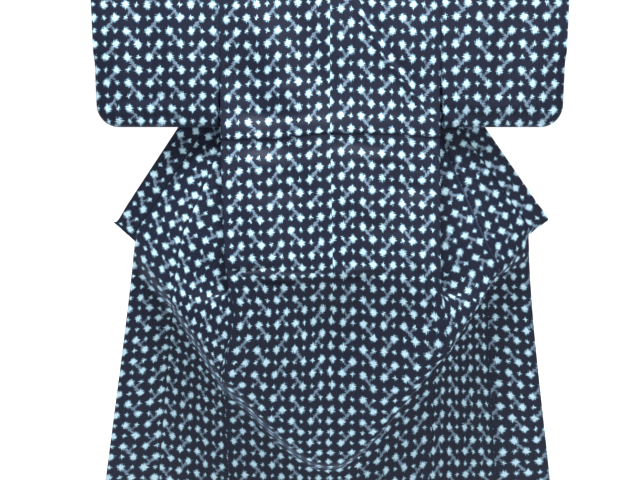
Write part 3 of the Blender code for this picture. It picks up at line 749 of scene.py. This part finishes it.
def front_side(side, v):
    """The front's edge at the side: apart from the back at the top, then sewn just behind it."""
    point = along(SIDE_SEAM[side], v)
    apart = -2 * point[1] * (1 - smooth_step(SLEEVE_SEAM_END, SIDE_SEAM_TOP, v))
    behind = (CLOTH + 3 * SEAM_GAP) * smooth_step(SEWN_TO_SLEEVE, SIDE_SEAM_TOP, v)
    behind *= 1 - smooth_step(*BEHIND_END, v)
    parting = SEAM_PARTING * smooth_step(*PARTED, v)
    return point + np.array([parting, apart + behind, 0.0])


def front_row(side, v_side, v_seam):
    """The points across a front: in behind the back, round the crease, and out to its far seam."""
    side_point = along(SIDE_SEAM[side], v_side)
    start = front_side(side, v_side)
    end = along(overlap_seam(side), v_seam)
    v = (v_side + v_seam) / 2
    depth = along(WING_DEPTH[side], np.clip(v, WING_TOP, WING_FOOT))[0]
    folded = smooth_step(FOLD_START, WING_TOP, v)
    crease = np.array([NECK_HALF_WIDTH + v * math.tan(CREASE_ANGLE[side]), depth, v])
    flat = start + CREASE_ACROSS * (end - start)
    crease = flat + folded * (crease - flat)
    bend = FOLD_RADIUS * folded
    spread = CREASE_SPREAD * (1 - folded) * (end - start)
    middle = crease + np.array([-bend, bend, 0.0])
    outer = crease + np.array([0.0, 2 * bend, 0.0]) + spread
    row = through([start, crease - spread, middle, outer, end], ROW_SHARES)
    share = np.linspace(0, 1, len(row))
    level = v_side + (v_seam - v_side) * share
    hanging = smooth_step(HANGING_START, HANGING_END, level)
    if hanging.max() > 0:
        seam = overlap_seam(side)
        seam = [seam[0]] + seam[2:]
        for i in np.nonzero(hanging)[0]:
            free = along(between(SIDE_SEAM[side], seam, share[i]), level[i])
            free = free + (start - side_point) * (1 - share[i])
            row[i] = row[i] + hanging[i] * (free - row[i])
    return row, level


def arc_share(points):
    """How far along a line each of its points lies, from 0 to 1."""
    runs = np.append(0.0, np.cumsum(np.linalg.norm(np.diff(points, axis=0), axis=1)))
    return runs / runs[-1]


FRONT_REPEAT = {"left": (-0.0231, -0.0432, -1, 1.0, 1.08), "right": (0.0111, 0.0505, 1, 1.0, 1.06)}

for side in SIDES:
    rows, measures = [], []
    over = spaced([-(OVER_ROD - SEAM_GAP), 0.0], [ROWS["over rod"]])[:-1]
    pairs = list(zip(over, over)) + list(zip(
        panel_lengths(SIDE_SEAM[side], 0.0), panel_lengths(overlap_seam(side), 0.0)))
    for v_side, v_seam in pairs:
        row, level = front_row(side, max(v_side, 0.0), max(v_seam, 0.0))
        if v_side < 0:
            row, level = over_rod(row, np.full(len(row), v_side)), np.full(len(row), v_side)
        width = FRONT_WIDTH_AT_NECK + (FRONT_WIDTH - FRONT_WIDTH_AT_NECK) * min(v_seam / OVERLAP_START, 1)
        rows.append(placed(side, row))
        measures.append(on_cloth(SIDES[side] * arc_share(row) * width, level, FRONT_REPEAT[side]))
    seam_length = np.array([v_seam for _, v_seam in pairs])
    widths = ALLOWANCE * smooth_step(*OVERLAP_ALLOWANCE_START, seam_length)
    points = creased(np.stack(rows), front_creases(side))
    points, measures = turned_in(points, np.stack(measures), widths)
    front = cloth_piece("cloth_front_" + side, points, measures)
    dress(front, "front_" + side)


# The overlaps: a narrow length sewn to each front's far edge, cut to a slant at the top, where the
# collar is sewn on, and straight below to the hem.
OVERLAP_TOP = 0.24
OVERLAP_COLUMNS = 28
BEHIND_COLLAR = 0.0022
COLLAR_ALLOWANCE_END = (0.80, 0.83)
# Where the seam turns into the slanting fold, it is parted three times as far.
TURN_START = (0.80, 0.89)
TURN_END = (1.08, 1.18)
OVERLAP_REPEAT = {"left": (-0.0114, -0.0435, -1, 1.0, 1.08), "right": (0.1114, 0.0180, 1, 1.0, 1.06)}

for side in SIDES:
    rows, measures = [], []
    seam, edge = overlap_seam(side), front_edge(side)
    for v_seam, v_edge in zip(panel_lengths(seam, OVERLAP_TOP), panel_lengths(edge, OVERLAP_TOP)):
        first, last = along(seam, v_seam), along(edge, v_edge)
        turning = smooth_step(*TURN_START, v_seam) * (1 - smooth_step(*TURN_END, v_seam))
        parting = SEAM_PARTING * (1 + 2 * turning)
        first = first + parting * (last - first) / np.linalg.norm(last - first)
        share = np.linspace(0, 1, OVERLAP_COLUMNS + 1)[:, None]
        rows.append(placed(side, first + (last - first) * share))
        width = overlap_width(min(v_edge, COLLAR_END))
        level = v_seam + (v_edge - v_seam) * share[:, 0]
        measures.append(on_cloth(SIDES[side] * share[:, 0] * width, level, OVERLAP_REPEAT[side]))
    edge_length = np.array(panel_lengths(edge, OVERLAP_TOP))
    widths = ALLOWANCE * (1 - smooth_step(*COLLAR_ALLOWANCE_END, edge_length))
    points = creased(np.stack(rows), front_creases(side))
    points, measures = turned_in(points, np.stack(measures), widths, BEHIND_COLLAR)
    overlap = cloth_piece("cloth_overlap_" + side, points, measures)
    dress(overlap, "overlap_" + side)


# The sleeves: one length each, folded over the rod, sewn together below and at the outer edge under
# the wrist opening, with a rounded corner. The inner edge is open below the seam to the body.
SLEEVE_WIDTH = 0.342
SLEEVE_DEPTH = 0.43
SLEEVE_OPENING = 0.25
SLEEVE_CORNER = 0.060
SLEEVE_ROUNDING = 0.035
SLEEVE_COLUMNS = 72
CORNER_COLUMNS = 24
SLEEVE_ROWS = 84
ROWS_OVER_ROD = 14
# The outer edge closes below the opening between these lengths above and below its end.
OPENING_END = (0.03, 0.01)
# Below its seam to the body each sleeve hangs a little off it, most at the bottom.
SLEEVE_OFF = {"left": 0.0065, "right": 0.0105}
SLEEVE_OFF_REACH = 0.12
SLEEVE_OFF_START = SEWN_TO_SLEEVE - 0.04
SLEEVE_CREASES = [
    (0.0045, 0.045, (-0.40, -0.04), (-0.42, -0.20), (-0.40, -0.38)),
    (-0.0040, 0.035, (-0.50, -0.06), (-0.50, -0.22), (-0.52, -0.40)),
    (0.0040, 0.035, (-0.58, -0.10), (-0.58, -0.25), (-0.56, -0.38)),
    (0.0045, 0.045, (0.38, -0.04), (0.40, -0.20), (0.39, -0.38)),
    (-0.0040, 0.035, (0.48, -0.06), (0.48, -0.22), (0.50, -0.40)),
    (0.0040, 0.035, (0.57, -0.10), (0.57, -0.25), (0.55, -0.38)),
    (-0.0035, 0.012, (-0.60, -0.362), (-0.48, -0.352), (-0.36, -0.350)),
    (-0.0030, 0.010, (-0.56, -0.405), (-0.44, -0.402), (-0.33, -0.404)),
    (-0.0045, 0.014, (0.31, -0.372), (0.35, -0.398), (0.46, -0.402), (0.60, -0.398)),
    (0.0030, 0.014, (0.34, -0.365), (0.45, -0.375), (0.56, -0.372)),
]
SLEEVE_REPEAT = {"left": (0.0435, 0.0382, 1, 1.01, 1.035), "right": (-0.0495, -0.0413, -1, 0.975, 1.0)}


def rounded_out(distance):
    """How far a sleeve's two layers have parted at a distance from a closed edge, from 0 to 1."""
    share = np.clip(distance / SLEEVE_ROUNDING, 0.0, 1.0)
    return np.sqrt(1 - (1 - share) ** 2)


inner = SHOULDER + SEAM_GAP
outer = SHOULDER + SLEEVE_WIDTH
for side in SIDES:
    columns, measures = [], []
    straight = outer - SLEEVE_CORNER - inner
    steps = np.append(np.linspace(0, straight, SLEEVE_COLUMNS - CORNER_COLUMNS, endpoint=False),
                      straight + SLEEVE_CORNER * np.sin(np.linspace(0, math.pi / 2, CORNER_COLUMNS + 1)))
    for step in steps:
        past = max(step - straight, 0.0)
        depth = SLEEVE_DEPTH - SLEEVE_CORNER + math.sqrt(max(SLEEVE_CORNER ** 2 - past ** 2, 0.0))
        edge = outer - inner - step
        drop = depth * (1 - np.linspace(0, 1, SLEEVE_ROWS))
        closed = smooth_step(SLEEVE_OPENING - OPENING_END[0], SLEEVE_OPENING + OPENING_END[1], drop)
        pinch = rounded_out(depth - drop) * (1 - closed * (1 - rounded_out(edge)))
        half = -along(SIDE_SEAM["left"], np.minimum(drop, SEWN_TO_SLEEVE))[:, 1] * pinch
        angle = np.radians(np.linspace(0, 180, ROWS_OVER_ROD))[1:-1]
        y = np.concatenate([half, CLOTH_RADIUS * np.cos(angle), -half[::-1]])
        z = np.concatenate([-drop, CLOTH_RADIUS * np.sin(angle), -drop[::-1]])
        off_body = smooth_step(SLEEVE_OFF_START, SLEEVE_DEPTH, -z) * max(1 - step / SLEEVE_OFF_REACH, 0.0)
        x = SIDES[side] * (inner + step + SLEEVE_OFF[side] * off_body)
        columns.append(np.stack([x, y, z], axis=-1))
        v = np.concatenate([-drop - 2 * OVER_ROD, CLOTH_RADIUS * (angle - math.pi), drop[::-1]])
        measures.append(on_cloth(SIDES[side] * step, v, SLEEVE_REPEAT[side]))
    points = creased(np.stack(columns, axis=1), SLEEVE_CREASES)
    sleeve = cloth_piece("cloth_sleeve_" + side, points, np.stack(measures, axis=1))
    dress(sleeve, "sleeve_" + side)


# The collar: one long length folded double, sewn round the neck and down the slant of both overlaps.
# It stands up behind the neck, and below the shoulders it lies flat beyond the fronts' far edges.
COLLAR_WIDTH = 0.0635
# How much of that width shows on each side, below the neck.
SHOWN_WIDTH = {"left": 0.0635, "right": 0.0580}
COLLAR_FOLD = 0.0010
# Its run round the neck, from the middle: out, depth and height, and which way it leans (out, in, up).
NECK_RUN = [
    (0.000, -0.0150, 0.0035, 0.00, 0.10, 1.00),
    (0.030, -0.0150, 0.0035, 0.00, 0.10, 1.00),
    (0.055, -0.0145, 0.0060, 0.00, 0.10, 1.00),
    (0.072, -0.0115, 0.0120, 0.05, 0.08, 1.00),
    (0.080, -0.0040, 0.0175, 0.12, 0.05, 1.00),
    (0.082, 0.0060, 0.0180, 0.18, 0.05, 1.00),
    (0.083, 0.0170, 0.0100, 0.28, 0.05, 0.95),
    (0.091, 0.0230, -0.0150, 0.50, 0.03, 0.85),
]
COLLAR_LEVELS = [0.06, 0.08, 0.10, 0.12, 0.18, 0.24, 0.28, 0.34, 0.40, 0.47, 0.54, 0.61, 0.68,
                 0.74, 0.80, 0.85]
LEAN_STEP = 0.02
COLLAR_STEPS = 8
COLLAR_COLUMNS = 13
COLLAR_BEND = 7
# Its lower ends are cut askew: each end's corner at the seam and its tip, as (out, depth, drop).
COLLAR_ENDS = {"left": ((0.555, 0.030, 0.755), (0.618, 0.030, 0.697)),
               "right": ((0.5695, 0.030, 0.735), (0.617, 0.030, 0.698))}
COLLAR_REPEAT = (0.0786, 0.1003, 1, 1.0, 1.05)
COLLAR_DRIFT = 0.0151


def collar_half(side):
    """The collar's sewn line and outer line, from the centre of the neck to one end."""
    run = []
    for out, depth, height, lean_out, lean_in, lean_up in NECK_RUN:
        lean = np.array([lean_out, lean_in, -lean_up])
        run.append((np.array([out, depth, -height]), lean / np.linalg.norm(lean)))
    seam, edge = overlap_seam(side), front_edge(side)
    for v in COLLAR_LEVELS:
        line = seam if v < OVERLAP_TOP else edge
        low, high = along(line, v - LEAN_STEP), along(line, v)
        lean = np.array([high[2] - low[2], 0.0, low[0] - high[0]])
        lean = lean / np.linalg.norm(lean)
        behind = 2 * CLOTH * (1 - smooth_step(WING_TOP, OVERLAP_TOP, v))
        run.append((along(line, v) + SEAM_PARTING * lean + np.array([0.0, behind, 0.0]), lean))
    pairs = [(point, point + COLLAR_WIDTH * lean) for point, lean in run[:len(NECK_RUN)]]
    pairs += [(point, point + SHOWN_WIDTH[side] * lean) for point, lean in run[len(NECK_RUN):]]
    pairs.append(COLLAR_ENDS[side])
    return [(placed(side, corner), placed(side, tip)) for corner, tip in pairs]


run = collar_half("left")[::-1] + collar_half("right")[1:]
counts = [COLLAR_STEPS] * (len(run) - 1)
sewn = through([pair[0] for pair in run], counts)
free = through([pair[1] for pair in run], counts)
length = arc_share(sewn) * np.linalg.norm(np.diff(sewn, axis=0), axis=1).sum()
across = (free - sewn) / COLLAR_WIDTH
along_run = np.gradient(sewn, axis=0)
facing = np.cross(along_run, across)
facing /= np.linalg.norm(facing, axis=1)[:, None]
# Across the cloth, each point's place over the collar's width and out of its middle plane: one layer,
# the fold at the free edge, and the other layer back to the seam.
layer = np.linspace(0, COLLAR_WIDTH - COLLAR_FOLD, COLLAR_COLUMNS)
bend = np.linspace(math.pi / 2, -math.pi / 2, COLLAR_BEND)[1:-1]
over_width = np.concatenate([layer, COLLAR_WIDTH - COLLAR_FOLD + COLLAR_FOLD * np.cos(bend), layer[::-1]])
flat = np.full(COLLAR_COLUMNS, COLLAR_FOLD)
out_of_plane = np.concatenate([flat, COLLAR_FOLD * np.sin(bend), -flat])
points = (sewn[:, None] + across[:, None] * over_width[None, :, None]
          + facing[:, None] * out_of_plane[None, :, None])
profile = np.stack([over_width, out_of_plane], axis=-1)
cut_place = np.append(0.0, np.cumsum(np.linalg.norm(np.diff(profile, axis=0), axis=1)))
drifted = cut_place[None] + COLLAR_DRIFT * length[:, None] / length[-1]
collar = cloth_piece("cloth_collar", points, on_cloth(drifted, length[:, None], COLLAR_REPEAT))
dress(collar, "collar")


# The studio: a pale floor far out behind, a soft key light from high on the left, a weaker one from
# the right, a light over the floor behind, and a sky that is white behind the kimono and dim before it.
FLOOR_HEIGHT = -1.72
FLOOR_SIZE = 32.0
FLOOR_COLOUR = "d4d5d7"
FLOOR_ROUGHNESS = 0.9
SKY_COLOUR = "ffffff"
SKY_BEHIND = 1.1
SKY_BEFORE = 0.15
SKY_TURN = (0.0, 0.7)
# Each light's name, place, the place that it points at, its size and its power in watts.
LIGHTS = [
    ("key", (-0.15, -0.52, 1.5), (0.0, 0.0, -0.45), 0.7, 108),
    ("side", (1.4, -3.0, 0.2), (0.0, 0.0, -0.75), 1.6, 19),
    ("floor", (0.0, 11.0, 5.0), (0.0, 11.0, FLOOR_HEIGHT), 22.0, 3400),
]

bpy.ops.mesh.primitive_plane_add(size=FLOOR_SIZE, location=(0, 0, FLOOR_HEIGHT))
floor = bpy.context.object
floor.name = "studio_floor"
pale_floor = bpy.data.materials.new("pale_matt_floor")
pale_floor.use_nodes = True
shader = pale_floor.node_tree.nodes["Principled BSDF"]
shader.inputs["Base Color"].default_value = from_hex(FLOOR_COLOUR)
shader.inputs["Roughness"].default_value = FLOOR_ROUGHNESS
floor.data.materials.append(pale_floor)

for name, place, aim, size, power in LIGHTS:
    bpy.ops.object.light_add(type="AREA", location=place)
    lamp = bpy.context.object
    lamp.name = name + "_light"
    lamp.data.energy = power
    lamp.data.size = size
    towards = Vector(aim) - Vector(place)
    lamp.rotation_euler = towards.to_track_quat("-Z", "Y").to_euler()

world = bpy.data.worlds.new("pale_sky")
bpy.context.scene.world = world
world.use_nodes = True
tree = world.node_tree
sky = add_node(tree, "SeparateXYZ", (), {"Vector": add_node(tree, "TexCoord").outputs["Generated"]})
brightness = add_node(tree, "MapRange", {"interpolation_type": "SMOOTHSTEP"}, {
    "Value": sky.outputs["Y"], "From Min": SKY_TURN[0], "From Max": SKY_TURN[1],
    "To Min": SKY_BEFORE, "To Max": SKY_BEHIND})
tree.nodes["Background"].inputs["Color"].default_value = from_hex(SKY_COLOUR)
tree.links.new(brightness.outputs["Result"], tree.nodes["Background"].inputs["Strength"])
bpy.context.scene.view_settings.view_transform = "Standard"
